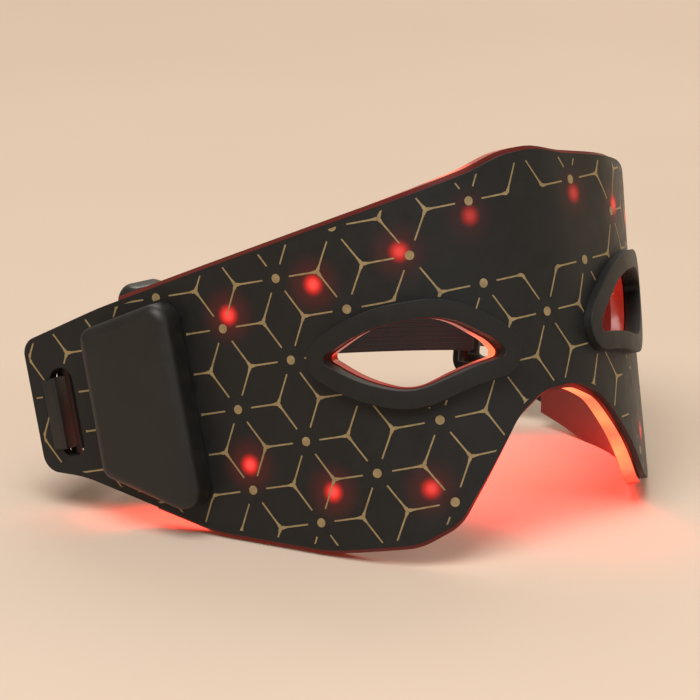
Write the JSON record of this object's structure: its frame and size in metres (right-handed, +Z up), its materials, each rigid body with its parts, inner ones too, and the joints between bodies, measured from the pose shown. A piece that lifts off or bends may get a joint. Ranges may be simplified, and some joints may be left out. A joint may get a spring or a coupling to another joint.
{
  "type": "led face mask",
  "caption": "Curved black silicone light mask with almond eye openings, raised rims, a nose arch, a temple control box and an elastic head strap with a slide adjuster.",
  "frame": {"origin": "middle of the object's box, on the surface that it stands on", "axes": "+X towards the wearer's left, +Y towards the back of the head, +Z up; the mask stands on its cheek edges, leaning back"},
  "size_m": [0.1512, 0.1309, 0.0925],
  "materials": {
    "black_silicone": "matt moulded silicone with gold print",
    "clear_silicone": "clear silicone, lit red",
    "flex_circuit": "white flexible film",
    "red_diode": "clear moulded diode, lit red",
    "black_plastic": "fine satin texture",
    "circuit_board": "green solder mask",
    "battery_foil": "satin foil",
    "steel": "plain",
    "webbing": "elastic webbing"
  },
  "bodies": {
    "mask": {"outer_cover": "black_silicone", "eye_rim_right": "black_silicone", "eye_rim_left": "black_silicone", "led_flex_circuit": "flex_circuit", "inner_liner": "clear_silicone", "led_right_01": "red_diode", "led_right_02": "red_diode", "led_right_03": "red_diode", "led_right_04": "red_diode", "led_right_05": "red_diode", "led_right_06": "red_diode", "led_right_07": "red_diode", "led_right_08": "red_diode", "led_right_09": "red_diode", "led_right_10": "red_diode", "led_right_11": "red_diode", "led_left_01": "red_diode", "led_left_02": "red_diode", "led_left_03": "red_diode", "led_left_04": "red_diode", "led_left_05": "red_diode", "led_left_06": "red_diode", "led_left_07": "red_diode", "led_left_08": "red_diode", "led_left_09": "red_diode", "led_left_10": "red_diode", "led_left_11": "red_diode", "box_seal": "black_silicone", "box_base_plate": "black_plastic", "box_case": "black_plastic", "case_screw_1": "steel", "case_screw_2": "steel", "case_screw_3": "steel", "case_screw_4": "steel", "control_board": "circuit_board", "battery": "battery_foil", "usb_c_socket": "steel", "flex_lead": "flex_circuit", "power_switch": "black_plastic", "strap_hook_right": "black_plastic", "strap_hook_left": "black_plastic", "head_strap": "webbing"},
    "power_button": {"power_button": "black_silicone"},
    "strap_slider": {"strap_slider": "black_plastic"}
  },
  "joints": [
    {"name": "power_button_press", "type": "slide", "parent": "mask", "child": "power_button", "axis": [0.3455, -0.9016, 0.2602], "range_m": [0, 0.0006], "stiffness_N_per_m": 800, "springref_m": -0.0005},
    {"name": "strap_slider_slide", "type": "slide", "parent": "mask", "child": "strap_slider", "axis": [1, 0, 0], "range_m": [-0.008, 0.008]}
  ]
}
